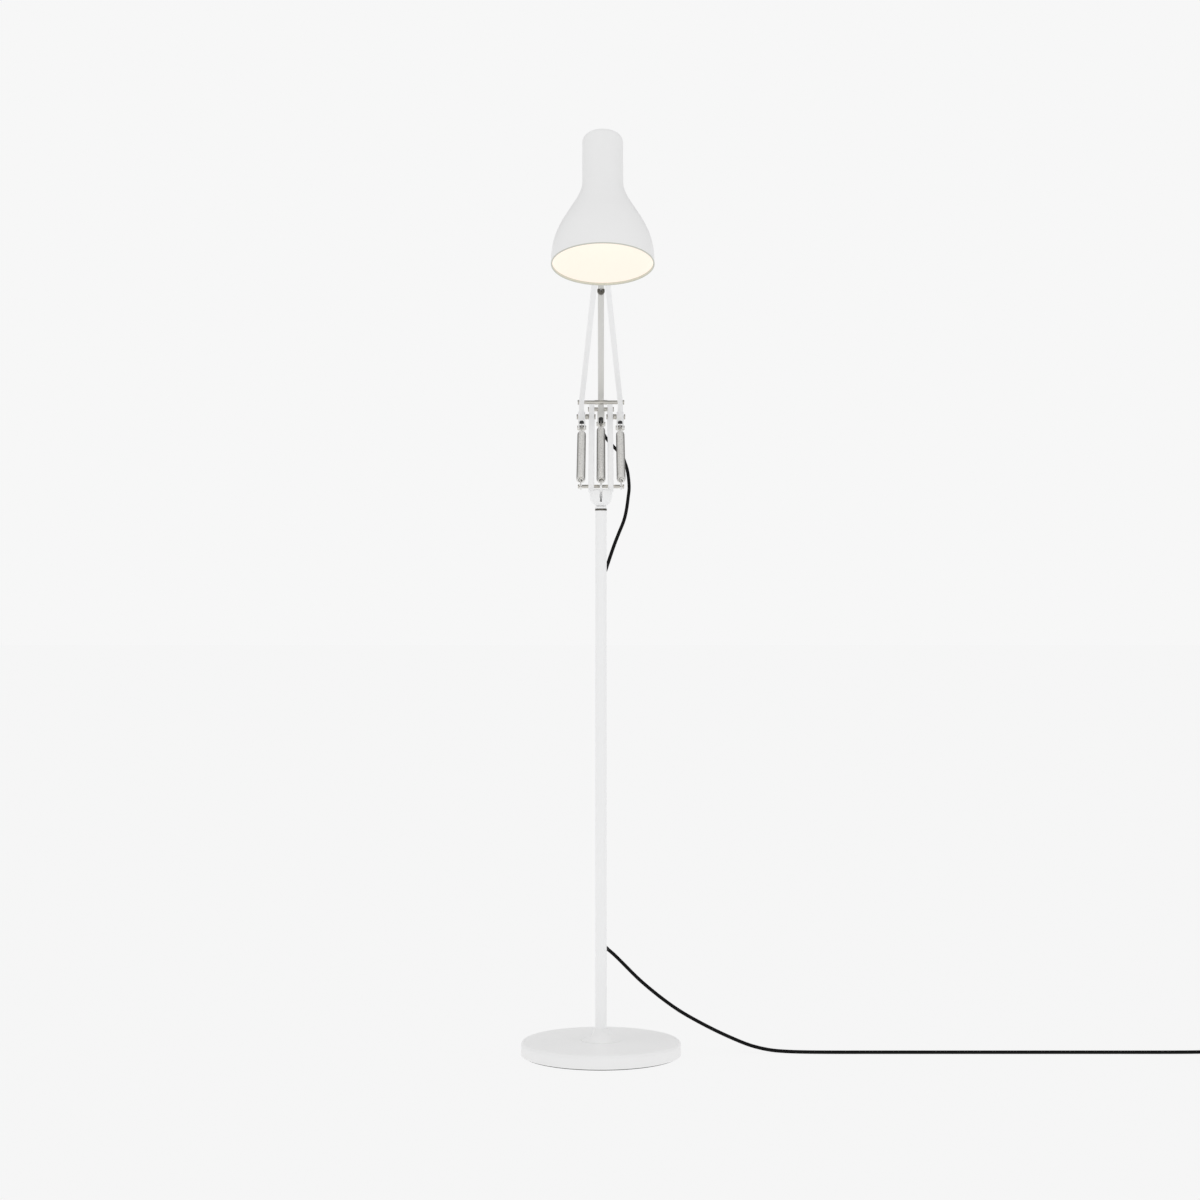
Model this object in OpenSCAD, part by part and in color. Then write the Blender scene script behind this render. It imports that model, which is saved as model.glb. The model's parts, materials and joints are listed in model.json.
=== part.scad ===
// Adjustable arm floor lamp. Millimetres, +Z up, +X to the right, the front faces -Y.
// The origin is the centre of the base's underside, on the stem's axis.

/* [Base and stem] */
// Diameter of the round base
base_d = 225; // [200:5:260]
// Height of the base's straight side and its rounded edge
base_h = 20; // [15:1:24]
// Outside diameter of the stem tube
stem_d = 16; // [16:1:18]
// Height of the stem tube's top end
stem_top = 767; // [700:1:900]

/* [Arms] */
// How far the lower arm leans back from upright, in degrees
lower_lean = 57.6; // [45:0.1:60]
// How far the upper arm leans forward from upright, in degrees
upper_lean = 54.5; // [45:0.1:60]
// Distance from the knuckle's pin to the elbow pins
lower_len = 236.7; // [220:0.1:260]
// Distance from the elbow pins to the head pin, along the outer bars
upper_len = 300; // [280:1:320]
// Diameter of the coil springs
spring_d = 12.7; // [10:0.1:13]

/* [Shade] */
// Radius of the shade's mouth
mouth_r = 69.8; // [60:0.1:75]
// Radius of the shade's neck
neck_r = 28; // [26:0.5:30]
// Height of the shade along its own axis
shade_h = 193; // [185:1:200]
// How far the shade's axis leans back, in degrees
shade_lean = 15.8; // [10:0.1:20]

/* [Cord] */
// Diameter of the black cord
cord_d = 5; // [4.5:0.5:5]

/* [Hidden] */
$fn = 48;
fit = 0.05;                       // radial running clearance of a pin in its bore
gap = 0.35;                       // clearance between pieces that move past each other
stem_r = stem_d / 2;
base_r = base_d / 2;
cord_r = cord_d / 2;

// Knuckle and lower arm. The arm's own frame has Z along the bars and its pivot at the origin.
ball_r = 16;
pivot_z = stem_top + 21;
slot_half = 1.75;
bar_in = 9.8;                     // the lower bars' inner faces, in X
bar_w = 8;
bar_out = bar_in + bar_w;
foot_z = 17.2;
rod_z = 26.2;                     // the springs' lower rod
rod_r = 2.5;
centre_off = 23.7;                // from the elbow pins to the centre bar's pivot
pin_r = 2.5;

// Upper arm. Its own frame has Z along the bars and the elbow pins at the origin.
elbow_y = lower_len * sin(lower_lean);
elbow_z = pivot_z + lower_len * cos(lower_lean);
centre_y = (lower_len + centre_off) * sin(lower_lean);
centre_z = pivot_z + (lower_len + centre_off) * cos(lower_lean);
outer_x = 28.8;                   // centre of an outer bar at the elbow
head_x = 8.3;                     // centre of an outer bar at the head
outer_w = 7.4;
outer_t = 8;
kink_z = 33.3;                    // where the outer bars turn inwards, at the crossbar
fork_w = 10.5;
slot_w = 6.8;
arch_z = 18.2;                      // centre of the slot's round end, above the spring pin
barrel_r = 4.1;
outer_pin_z = -25.6;              // the outer springs' pins
centre_pin_z = -34.2;             // the centre spring's pin
centre_w = 8.8;
tongue = 2;                       // half the thickness of the centre bar's end
collar_z = 257.6;                 // the clamp screw, along the centre bar
side_lean = atan((outer_x - head_x) / (upper_len - kink_z));

// World places of the head pins, in the side view
head_y = elbow_y - upper_len * sin(upper_lean);
head_z = elbow_z + upper_len * cos(upper_lean);
head2_y = centre_y - upper_len * sin(upper_lean);
head2_z = centre_z + upper_len * cos(upper_lean);

// Springs: world places of both ends, in the side view
rod_y = rod_z * sin(lower_lean);
rod_wz = pivot_z + rod_z * cos(lower_lean);
outer_sy = elbow_y - outer_pin_z * sin(upper_lean);
outer_sz = elbow_z + outer_pin_z * cos(upper_lean);
centre_sy = centre_y - centre_pin_z * sin(upper_lean);
centre_sz = centre_z + centre_pin_z * cos(upper_lean);
eye_r = 4.4;                      // centreline radius of a hook's eye
wire_r = 0.8;
neck_cut = 0.75;                  // radius of the rod where a hook hangs
hook_x = 28.8;
coil_from = 14;                   // from the upper pin to the coil's first turn
coil_to = 20;                     // from the coil's last turn to the rod

// Shade. Its own frame has Z along its axis and the mouth's centre at the origin.
mouth_pos = [2.3, -140, 1094];
cap_r = 12;
flare_h = 120;
flare_power = 1.35;
shade_t = 1.5;
boss_h = 92;                      // height of the shade's pivot above the mouth
boss_y = 70;                      // distance of the shade's pivot behind the shade's axis
hinge_y = mouth_pos[1] + boss_h * sin(shade_lean) + boss_y * cos(shade_lean);
hinge_z = mouth_pos[2] + boss_h * cos(shade_lean) - boss_y * sin(shade_lean);

// Cords: hand-chosen points of the stretches that lie free
gland_y = 9.6;                     // the upper cord's exit above the centre bar's middle
cord_a = [[0, 258.95, 911.3], [0.5, 266.2, 906], [3, 273, 897], [9, 277, 887], [18, 275, 876.5],
    [27, 270.5, 867], [34, 263, 857.5]];
cord_b = [[34, 263, 857.5], [40, 243, 837], [42.3, 215, 812], [40.5, 190, 793.6], [37.4, 160, 773],
    [33.2, 135, 756.4], [26.2, 108, 738.8], [19.9, 84, 722.6], [14.4, 62, 706.8]];
cord_c = [[14.4, 62, 706.8], [9.8, 43, 693], [6, 28, 682], [2, 17, 675.5], [0, 10, 673]];
mains_z = 150;
mains = [[0, 10.2, 150], [0.6, 15, 150], [2.5, 21.5, 149], [7.5, 28.5, 146], [16, 34.5, 138.5], [28, 38, 126.5],
    [55, 39.5, 99.5], [84, 38, 75.5], [112, 35, 56], [141, 31, 40], [169, 27, 26.5], [198, 22, 14.5],
    [218, 18, 8.2], [240, 14, 4.2], [262, 10.5, 2.9], [290, 7.5, 2.6], [330, 6, 2.6], [380, 6, 2.6],
    [520, 6, 2.6], [660, 6, 2.6], [800, 6, 2.6], [872, 6, 3.4]];
relief = [[0, 9.95, 150], [0.6, 15, 150], [2.5, 21.5, 149], [7.5, 28.5, 146], [9.3, 30.2, 144.6]];
coil_pos = [888, -34.4];
coil_in = 17.2;
coil_out = 43.2;
coil_z = [1.2, 16.5];
lead = [[893, -4.6, 14.2], [901.1, -7.6, 15.2], [909.3, -13.8, 17.4], [914.7, -21.5, 20.2], [917, -29, 22.4]];
plug_pos = [917, -29, 22.4];

// ---- frames and shared shapes ----
module lower_frame() translate([0, 0, pivot_z]) rotate([-lower_lean, 0, 0]) children();
module upper_frame() translate([0, elbow_y, elbow_z]) rotate([upper_lean, 0, 0]) children();
module centre_frame() translate([0, centre_y, centre_z]) rotate([upper_lean, 0, 0]) children();
module shade_frame() translate(mouth_pos) rotate([-shade_lean, 0, 0]) children();
module block(size, z0) translate([-size[0] / 2, -size[1] / 2, z0]) cube(size);
module pin_x(r, x0, x1) translate([x0, 0, 0]) rotate([0, 90, 0]) cylinder(r = r, h = x1 - x0);
module both_sides() {
    children();
    mirror([1, 0, 0]) children();
}

// A spring's frame: Z runs from the upper pin at (y, z) down to the rod
module spring_frame(y, z) translate([0, y, z])
    rotate([90 + atan2(z - rod_wz, y - rod_y), 0, 0]) children();
function spring_len(y, z) = norm([y - rod_y, z - rod_wz]);
module eye() rotate([0, 90, 0]) rotate_extrude() translate([eye_r, 0]) circle(r = wire_r, $fn = 16);

// The straight wire from the upper eye to the coil
module neck_wire() translate([0, 0, eye_r]) cylinder(r = wire_r, h = coil_from - eye_r);

// The closed outer shape of a coil between its tapered ends
module coil(z0, z1) {
    taper = 9;
    r = spring_d / 2;
    rotate_extrude() polygon([[0, z0], [2.2, z0], [r, z0 + taper], [r, z1 - taper], [2.2, z1], [0, z1]]);
}

// A round tube swept along points. across is a direction that the path never runs along.
function unit(v) = v / norm(v);
function tangent(p, i) = unit(p[min(i + 1, len(p) - 1)] - p[max(i - 1, 0)]);
function mid(p, i, f) = let(n = len(p) - 1, a = p[max(i - 1, 0)], b = p[i], c = p[i + 1], d = p[min(i + 2, n)])
    0.5 * (2 * b + (c - a) * f + (2 * a - 5 * b + 4 * c - d) * f * f + (3 * b - a - 3 * c + d) * f * f * f);
function smooth(p, k) = concat([for (i = [0:len(p) - 2]) for (j = [0:k - 1]) mid(p, i, j / k)], [p[len(p) - 1]]);
// Stops short of the next stretch, which moves with another piece
function trimmed(p) = [for (i = [0:len(p) - 2]) p[i]];
module tube(p, across, sides = 8, r0 = cord_r, r1 = cord_r) {
    n = len(p);
    ring = [for (i = [0:n - 1]) let(t = tangent(p, i), s = unit(cross(t, across)), u = cross(t, s))
        for (k = [0:sides - 1]) p[i] + (r0 + (r1 - r0) * i / (n - 1)) * (cos(360 * k / sides) * s + sin(360 * k / sides) * u)];
    walls = [for (i = [0:n - 2]) for (k = [0:sides - 1]) let(a = i * sides, b = (k + 1) % sides)
        [a + k, a + b, a + sides + b, a + sides + k]];
    ends = [[for (k = [sides - 1:-1:0]) k], [for (k = [0:sides - 1]) (n - 1) * sides + k]];
    polyhedron(ring, concat(walls, ends), convexity = 6);
}

// ---- base and stem ----
module base_cover() color("white") rotate_extrude($fn = 96) {
    edge = 5;
    wall = 2.2;
    low = 1.5;
    polygon(concat(
        [[base_r - wall, low], [base_r, low]],
        [for (a = [0:10:90]) [base_r - edge + edge * cos(a), base_h - edge + edge * sin(a)]],
        [[28, base_h + 1], [stem_r + 0.02, base_h + 1], [stem_r + 0.02, base_h - 1.4],
         [base_r - edge, base_h - wall], [base_r - wall, base_h - edge]]));
}
module base_collar() color("white") rotate_extrude($fn = 64) {
    foot_r = 28.5;
    rise = 16.5;
    z0 = base_h + 1;
    polygon(concat([[stem_r + 0.02, z0], [foot_r, z0]],
        [for (a = [0:9:90]) [stem_r + 1.4 + (foot_r - stem_r - 1.4) * (1 - sin(a)), z0 + 0.6 + rise * (1 - cos(a))]],
        [[stem_r + 0.02, z0 + rise + 0.6]]));
}
module base_weight() color("dimgray") difference() {
    translate([0, 0, 2.6]) cylinder(r = base_r - 4.6, h = base_h - 5.4, $fn = 96);
    translate([0, 0, 7]) cylinder(r = stem_r + 0.02, h = base_h);
    translate([0, 0, 2]) cylinder(r = 4.1, h = 10);
    translate([0, 0, 2]) cylinder(r = 7.5, h = 3);
}
module base_pad() color("black") cylinder(r = base_r - 3, h = 2.5, $fn = 96);
module base_bolt() color("silver") {
    translate([0, 0, 2.6]) cylinder(r = 7, h = 2.4, $fn = 6);
    translate([0, 0, 4.9]) cylinder(r = 4, h = 17);
    translate([0, 0, 12]) difference() {
        cylinder(r = stem_r - 1.45, h = 8);
        translate([0, 0, -1]) cylinder(r = 4.02, h = 10);
    }
}
module stem_tube() color("white") difference() {
    translate([0, 0, 7]) cylinder(r = stem_r, h = stem_top - 7);
    translate([0, 0, 6]) cylinder(r = stem_r - 1.4, h = stem_top);
    for (z = [mains_z, cord_c[4][2]]) translate([0, 0, z]) rotate([-90, 0, 0]) cylinder(r = 4.6, h = 20);
}
module stem_bush() color("dimgray") translate([0, 0, stem_top - 24]) difference() {
    cylinder(r = stem_r - 1.45, h = 24);
    translate([0, 0, -1]) cylinder(r = 5 + fit, h = 26);
}
module stem_washer() color("dimgray") translate([0, 0, stem_top]) difference() {
    cylinder(r = stem_r + 0.4, h = 2.4);
    translate([0, 0, -1]) cylinder(r = 5 + fit, h = 5);
}
module cord_grommets() color("black") for (z = [mains_z, cord_c[4][2]])
    translate([0, 6.4, z]) rotate([-90, 0, 0]) difference() {
        union() {
            cylinder(r = 4.55, h = 2);
            translate([0, 0, 1.7]) cylinder(r = 5.6, h = 1.9);
        }
        translate([0, 0, -1]) cylinder(r = cord_r + 0.02, h = 6);
    }
module stem_cord() color("black") {
    top = cord_c[4][2];
    translate([0, 0, mains_z]) cylinder(r = cord_r, h = top - mains_z);
    for (z = [mains_z, top]) translate([0, 0, z]) {
        sphere(r = cord_r);
        rotate([-90, 0, 0]) cylinder(r = cord_r, h = 9.9);
    }
}

// ---- swivel knuckle ----
module knuckle_spigot() color("silver") {
    translate([0, 0, stem_top - 22]) cylinder(r = 5, h = 29.5);
    translate([0, 0, stem_top + 2.75]) cylinder(r = stem_r, h = 3);
}
module knuckle_half() difference() {
    intersection() {
        translate([0, 0, pivot_z]) sphere(r = ball_r, $fn = 64);
        translate([0, -20, stem_top + 3]) cube([20, 40, pivot_z + 7 - stem_top - 3]);
    }
    translate([-slot_half, -20, pivot_z - 10]) cube([2 * slot_half, 40, 30]);
    translate([0, 0, stem_top]) cylinder(r = 5, h = 7.5);
    translate([0, 0, stem_top]) cylinder(r = stem_r, h = 5.75);
    translate([0, 0, pivot_z]) pin_x(3, -1, 20);
}
module knuckle_right() color("white") knuckle_half();
module knuckle_left() color("white") mirror([1, 0, 0]) knuckle_half();
module knuckle_pin() color("silver") translate([0, 0, pivot_z]) pin_x(3, -15.5, 15.5);

// ---- lower arm ----
module arm_foot() color("white") lower_frame() difference() {
    union() {
        pin_x(8.6, -slot_half + gap, slot_half - gap);
        block([2 * (slot_half - gap), 12, foot_z + 1.2], 0);
        translate([-bar_in, 0, foot_z]) cube([2 * bar_in, 5, 2.2]);
    }
    pin_x(3 + fit, -5, 5);
}
module lower_bar() lower_frame() difference() {
    translate([bar_in, -5, foot_z]) cube([bar_w, 10, lower_len + centre_off + 8 - foot_z]);
    translate([0, 0, rod_z]) pin_x(rod_r, 5, 25);
    translate([0, 0, lower_len]) pin_x(pin_r, 5, 25);
    translate([0, 0, lower_len + centre_off]) pin_x(pin_r, 5, 25);
}
module lower_bar_right() color("white") lower_bar();
module lower_bar_left() color("white") mirror([1, 0, 0]) lower_bar();
module spring_rod() color("silver") lower_frame() translate([0, 0, rod_z]) {
    neck = 3.2;
    pin_x(neck_cut, -hook_x - 3, hook_x + 3);
    both_sides() {
        pin_x(rod_r, neck / 2, hook_x - neck / 2);
        pin_x(rod_r + 0.4, hook_x + neck / 2, hook_x + 4);
    }
}
module elbow_pins() color("silver") translate([0, elbow_y, elbow_z]) both_sides() {
    pin_x(pin_r, bar_in - 0.5, outer_x + fork_w / 2 + 1);
    pin_x(3.9, outer_x + fork_w / 2 + gap, outer_x + fork_w / 2 + 2.2);
    pin_x(3.9, bar_in - 1.8, bar_in);
}
module elbow_spacers() color("silver") translate([0, elbow_y, elbow_z]) both_sides()
    translate([bar_out, 0, 0]) difference() {
        pin_x(4, 0, outer_x - fork_w / 2 - gap - bar_out);
        pin_x(pin_r + 0.01, -1, 20);
    }
module centre_pin() color("silver") translate([0, centre_y, centre_z]) {
    pin_x(pin_r, -bar_out - 0.4, bar_out + 0.4);
    both_sides() pin_x(3.6, bar_out, bar_out + 1.6);
}
module centre_spacers() color("silver") translate([0, centre_y, centre_z]) both_sides()
    translate([centre_w / 2 + gap, 0, 0]) difference() {
        pin_x(3.1, 0, bar_in - centre_w / 2 - gap);
        pin_x(pin_r + 0.01, -1, 20);
    }

// ---- upper arm ----
// A bar's tail: two tines that end on a barrel, which holds a spring's eye
module fork(pin_z, width, depth, top) difference() {
    block([width, depth, top - pin_z], pin_z);
    block([slot_w, depth + 2, arch_z + 1], pin_z - 1);
    translate([0, 0, pin_z + arch_z]) rotate([90, 0, 0]) cylinder(r = slot_w / 2, h = depth + 2, center = true);
    translate([0, 0, pin_z]) pin_x(barrel_r + 0.02, -10, 10);
}
module barrel() {
    half = fork_w / 2;
    pin_x(1.6, -half - 1, half + 1);
    for (s = [-1, 1]) {
        pin_x(barrel_r, min(s * 1.3, s * half), max(s * 1.3, s * half));
        pin_x(3.3, min(s * half, s * (half + 1.4)), max(s * half, s * (half + 1.4)));
    }
}
module outer_bar() upper_frame() difference() {
    union() {
        translate([outer_x, 0, 0]) {
            fork(outer_pin_z, fork_w, outer_t, 7);
            block([outer_w, outer_t, kink_z - 6], 6);
            translate([0, 0, kink_z]) rotate([0, -side_lean, 0]) {
                block([outer_w, outer_t, (upper_len - kink_z) / cos(side_lean)], -0.2);
            }
        }
        translate([head_x, 0, upper_len]) pin_x(outer_t / 2 + 1.5, -outer_w / 2 + 0.2, outer_w / 2);
    }
    pin_x(pin_r + fit, 10, 50);
    translate([0, 0, kink_z]) pin_x(3, 10, outer_x + 1);
    translate([0, 0, upper_len]) pin_x(pin_r + gap, 0, 20);
}
module outer_bar_right() color("white") outer_bar();
module outer_bar_left() color("white") mirror([1, 0, 0]) outer_bar();
module arm_crossbar() color("silver") upper_frame() translate([0, 0, kink_z]) {
    pin_x(2.8, -outer_x - 0.9, outer_x + 0.9);
    pin_x(3.3, -9.5, 9.5);
    both_sides() pin_x(3.4, outer_x + outer_w / 2, outer_x + outer_w / 2 + 2);
}
module plug_arch(pin_z, depth) translate([0, 0, pin_z]) difference() {
    r = slot_w / 2 - 0.02;
    union() {
        translate([0, 0, arch_z]) rotate([90, 0, 0]) cylinder(r = r, h = depth - 1, center = true);
        block([2 * r, depth - 1, arch_z], 0);
    }
    block([slot_w + 1, depth + 1, arch_z - 5], -0.1);
}
module outer_plugs() color("black") upper_frame() both_sides()
    translate([outer_x, 0, 0]) plug_arch(outer_pin_z, outer_t);
module outer_spring_pins() color("silver") upper_frame() both_sides()
    translate([outer_x, 0, outer_pin_z]) barrel();

// ---- centre bar ----
module centre_bar() color("gainsboro") centre_frame() difference() {
    union() {
        fork(centre_pin_z, fork_w, centre_w, -9);
        block([centre_w, centre_w, upper_len - 15 + 9.2], -9.2);
        block([2 * tongue, centre_w, 15.5], upper_len - 15.5);
        translate([0, 0, upper_len]) pin_x(centre_w / 2 + 0.6, -tongue, tongue);
    }
    pin_x(pin_r + fit, -10, 10);
    translate([0, 0, upper_len]) pin_x(pin_r + fit, -10, 10);
}
// A round clamp screw through the bar, level, with a hexagonal socket in its front face
module bar_collar() color("dimgray") centre_frame() translate([0, 0, collar_z]) difference() {
    rotate([90 - upper_lean, 0, 0]) cylinder(r = 5.3, h = 11);
    block([centre_w, centre_w, 30], -15);
    rotate([90 - upper_lean, 0, 0]) translate([0, 0, 7]) cylinder(r = 2.4, h = 6, $fn = 6);
}
module centre_plug() color("black") centre_frame() plug_arch(centre_pin_z, centre_w);
module centre_spring_pin() color("silver") centre_frame() translate([0, 0, centre_pin_z]) barrel();
module cord_gland() color("black") centre_frame() translate([0, gland_y, -41]) difference() {
    union() {
        cylinder(r1 = 3.7, r2 = 4.3, h = 26);
        translate([0, 0, 26]) sphere(r = 4.3);
        translate([-2.5, -gland_y + centre_w / 2, 21]) cube([5, 3, 6]);
    }
    translate([0, 0, -1]) cylinder(r = cord_r + 0.02, h = 24);
}

// ---- springs ----
module outer_coil() spring_frame(outer_sy, outer_sz) translate([hook_x, 0, 0]) {
    eye();
    neck_wire();
    coil(coil_from, spring_len(outer_sy, outer_sz) - coil_to);
}
module outer_coil_right() color("silver") outer_coil();
module outer_coil_left() color("silver") mirror([1, 0, 0]) outer_coil();
module spring_hook(l) {
    translate([0, 0, l]) eye();
    translate([0, 0, l - coil_to + 0.4]) cylinder(r = wire_r, h = coil_to - 0.4 - eye_r);
}
module outer_hooks() color("silver") both_sides() spring_frame(outer_sy, outer_sz)
    translate([hook_x, 0, 0]) spring_hook(spring_len(outer_sy, outer_sz));
module centre_coil() color("silver") spring_frame(centre_sy, centre_sz) {
    eye();
    neck_wire();
    coil(coil_from, spring_len(centre_sy, centre_sz) - coil_to);
}
module centre_hook() color("silver") spring_frame(centre_sy, centre_sz)
    spring_hook(spring_len(centre_sy, centre_sz));

// ---- head ----
module bead(y, z, r, w) translate([0, y, z]) pin_x(r, -w, w);
module head_link() color("white") difference() {
    half = 4.2;
    union() {
        hull() {
            bead(head_y, head_z, 6.5, half);
            bead(head2_y, head2_z, 6.5, half);
        }
        hull() {
            bead((head_y + head2_y) / 2, (head_z + head2_z) / 2, 7, half);
            bead(hinge_y + 4, hinge_z - 26, 5, half);
        }
        hull() {
            bead(hinge_y + 4, hinge_z - 26, 5, half);
            bead(hinge_y, hinge_z, 7, half);
        }
    }
    translate([0, head2_y, head2_z]) pin_x(11, -tongue - gap, tongue + gap);
    translate([0, head2_y, head2_z]) pin_x(pin_r, -10, 10);
    translate([0, head_y, head_z]) pin_x(pin_r, -10, 10);
    translate([0, hinge_y, hinge_z]) pin_x(3 + fit, -10, 10);
}
module head_pins() color("silver") {
    translate([0, head_y, head_z]) {
        pin_x(pin_r, -13.4, 13.4);
        both_sides() pin_x(4.2, head_x + outer_w / 2 + gap, head_x + outer_w / 2 + 2.2);
    }
    translate([0, head2_y, head2_z]) pin_x(pin_r, -4.9, 4.9);
}
module shade_hinge_pin() color("silver") translate([0, hinge_y, hinge_z]) {
    pin_x(3, -13, 13);
    both_sides() pin_x(6, 10.4, 13.6);
}

// ---- shade ----
function shade_r(h) = let(x = pow(min(h, flare_h) / flare_h, flare_power))
    neck_r + (mouth_r - neck_r) * (1 - x * x * (3 - 2 * x));
function dome(a, r, h) = [r - cap_r + cap_r * cos(a), h - cap_r + cap_r * sin(a)];
module shade_shell() color("white") shade_frame() rotate_extrude($fn = 96) {
    steps = [0:5:flare_h];
    polygon(concat([for (h = steps) [shade_r(h), h]],
        [for (a = [0:10:90]) dome(a, neck_r, shade_h)], [[0, shade_h], [0, shade_h - shade_t]],
        [for (a = [90:-10:0]) dome(a, neck_r - shade_t, shade_h - shade_t)],
        [for (h = [flare_h:-5:0]) [shade_r(h) - shade_t, h]]));
}
module shade_boss() color("white") difference() {
        shade_frame() difference() {
            translate([-mouth_pos[0], 0, 0]) both_sides()
                translate([4.6, 25, boss_h - 6]) cube([5, boss_y - 25 + 4, 12]);
            rotate_extrude($fn = 96) polygon(concat([[0, 0]], [for (h = [60:5:flare_h]) [shade_r(h), h]], [[0, flare_h]]));
        }
    translate([0, hinge_y, hinge_z]) pin_x(3, -20, 20);
}
module lamp_holder() color("white") shade_frame() difference() {
    union() {
        translate([0, 0, 146]) cylinder(r = 20, h = 32);
        translate([0, 0, 176]) cylinder(r = neck_r - shade_t - 0.5, h = 3);
    }
    translate([0, 0, 145]) cylinder(r = 13.6, h = 27);
}
module bulb_cap() color("silver") shade_frame() translate([0, 0, 143]) cylinder(r = 13.4, h = 26);
module bulb_glass() color("ivory") shade_frame() {
    neck = 12.5;
    ball = 29;
    ball_h = 82;
    rotate_extrude($fn = 64) polygon(concat(
        [[0, ball_h - ball]], [for (a = [-80:10:40]) [ball * cos(a), ball_h + ball * sin(a)]],
        [[neck + 3, 118], [neck, 132], [neck, 143], [0, 143]]));
}
module switch_housing() color("white") shade_frame() difference() {
    translate([0, neck_r - 3, 158]) rotate([-90, 0, 0]) cylinder(r = 8, h = 7);
    translate([0, 0, 100]) cylinder(r = neck_r, h = 80);
    translate([0, neck_r - 8, 158]) rotate([-90, 0, 0]) cylinder(r = 5 + gap, h = 20);
}
module switch_button() color("black") shade_frame()
    translate([0, neck_r + 2.4, 158]) rotate([-90, 0, 0]) cylinder(r = 5, h = 3.6);

// ---- cords ----
module upper_cord_a() color("black") tube(trimmed(smooth(cord_a, 2)), [1, 0, 0]);
module upper_cord_b() color("black") tube(trimmed(smooth(cord_b, 2)), [1, 0, 0]);
module upper_cord_c() color("black") tube(smooth(cord_c, 2), [1, 0, 0]);
module mains_cord() color("black") tube(mains, [0, 0, 1]);
// A tapered sleeve over the first stretch of the mains cord, where it leaves the stem
module cord_relief() color("black") tube(relief, [0, 0, 1], 12, 4.6, 3);
module mains_coil() color("black") translate([coil_pos[0], coil_pos[1], 0]) rotate_extrude($fn = 64)
    translate([coil_in, coil_z[0]]) square([coil_out - coil_in, coil_z[1] - coil_z[0]]);
module plug_lead() color("black") tube(lead, [0, 0, 1]);
module mains_plug() color("black") translate(plug_pos) hull() {
    rotate([90, 0, 0]) cylinder(r = 4.4, h = 2, $fn = 32);
    translate([-9, -14, -5.8]) cube([18, 6, 13]);
    translate([-12, -34, -5.8]) cube([24, 14, 13]);
}
module plug_pins() color("silver") for (s = [-1, 1])
    translate(plug_pos + [s * 7, -34, 0.6]) rotate([90, 0, 0]) cylinder(r = 2, h = 18);
module cord_tie() color("black") translate([coil_pos[0], coil_pos[1], 0]) {
    t = 1.1;
    play = 0.7;
    inner = [coil_out - coil_in + play, 12, coil_z[1] - coil_z[0] + 0.1];
    translate([-coil_out - t, -5, 0]) difference() {
        cube([inner[0] + 2 * t, 10, coil_z[1] + t]);
        translate([t - 0.05, -1, coil_z[0] - 0.05]) cube(inner);
    }
}

base_cover();
base_collar();
base_weight();
base_pad();
base_bolt();
stem_tube();
stem_bush();
stem_washer();
cord_grommets();
stem_cord();
knuckle_spigot();
knuckle_left();
knuckle_right();
knuckle_pin();
arm_foot();
lower_bar_left();
lower_bar_right();
spring_rod();
elbow_pins();
elbow_spacers();
centre_pin();
centre_spacers();
outer_bar_left();
outer_bar_right();
arm_crossbar();
outer_plugs();
outer_spring_pins();
centre_bar();
bar_collar();
centre_plug();
centre_spring_pin();
cord_gland();
outer_coil_left();
outer_coil_right();
outer_hooks();
centre_coil();
centre_hook();
head_link();
head_pins();
shade_hinge_pin();
shade_shell();
shade_boss();
lamp_holder();
bulb_cap();
bulb_glass();
switch_housing();
switch_button();
upper_cord_a();
upper_cord_b();
upper_cord_c();
mains_cord();
cord_relief();
mains_coil();
plug_lead();
mains_plug();
plug_pins();
cord_tie();
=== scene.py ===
# %% [markdown]
# # An adjustable arm floor lamp
# The lamp is a painted steel stem on a round base, two sprung arms and a bell shade.
# The frame that is loaded here holds every hard part at its true place, so this lesson only adds
# what a plain solid can't show: wound springs, the spun shade, the cord, and the finishes.

# %% Load the frame and keep its size
import json
import math

import bpy
import numpy as np
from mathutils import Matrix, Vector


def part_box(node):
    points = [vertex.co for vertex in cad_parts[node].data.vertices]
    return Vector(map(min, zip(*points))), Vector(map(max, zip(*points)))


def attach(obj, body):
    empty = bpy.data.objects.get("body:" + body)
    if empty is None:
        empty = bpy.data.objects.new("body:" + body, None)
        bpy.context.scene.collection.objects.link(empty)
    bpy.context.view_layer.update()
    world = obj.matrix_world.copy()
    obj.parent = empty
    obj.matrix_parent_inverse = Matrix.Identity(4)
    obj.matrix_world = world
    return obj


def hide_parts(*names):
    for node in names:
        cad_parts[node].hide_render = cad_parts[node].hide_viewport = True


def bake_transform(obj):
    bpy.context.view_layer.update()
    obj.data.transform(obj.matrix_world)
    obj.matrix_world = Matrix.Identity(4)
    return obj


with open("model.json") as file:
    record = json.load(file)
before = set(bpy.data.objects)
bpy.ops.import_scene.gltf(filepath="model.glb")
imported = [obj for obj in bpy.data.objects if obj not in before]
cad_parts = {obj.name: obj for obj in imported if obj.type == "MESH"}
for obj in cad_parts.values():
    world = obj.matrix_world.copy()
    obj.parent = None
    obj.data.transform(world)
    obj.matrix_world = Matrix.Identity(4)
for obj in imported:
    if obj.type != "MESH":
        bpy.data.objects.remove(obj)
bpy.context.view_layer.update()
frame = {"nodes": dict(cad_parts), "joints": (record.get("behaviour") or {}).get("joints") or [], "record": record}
nodes = frame["nodes"]
MM = 0.001


def middle(node):
    """Middle of a CAD node's box, as an array."""
    low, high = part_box(node)
    return (np.array(low) + np.array(high)) / 2


# %% [markdown]
# ## Camera
# The lamp is seen from straight in front, from a little below the middle of its height, with a
# medium lens a few metres away, so upright lines stay upright.

# %% Camera
CAMERA_PLACE = (-1.4 * MM, -3.288, 0.641)
LENS = 70
SENSOR = 36

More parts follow.
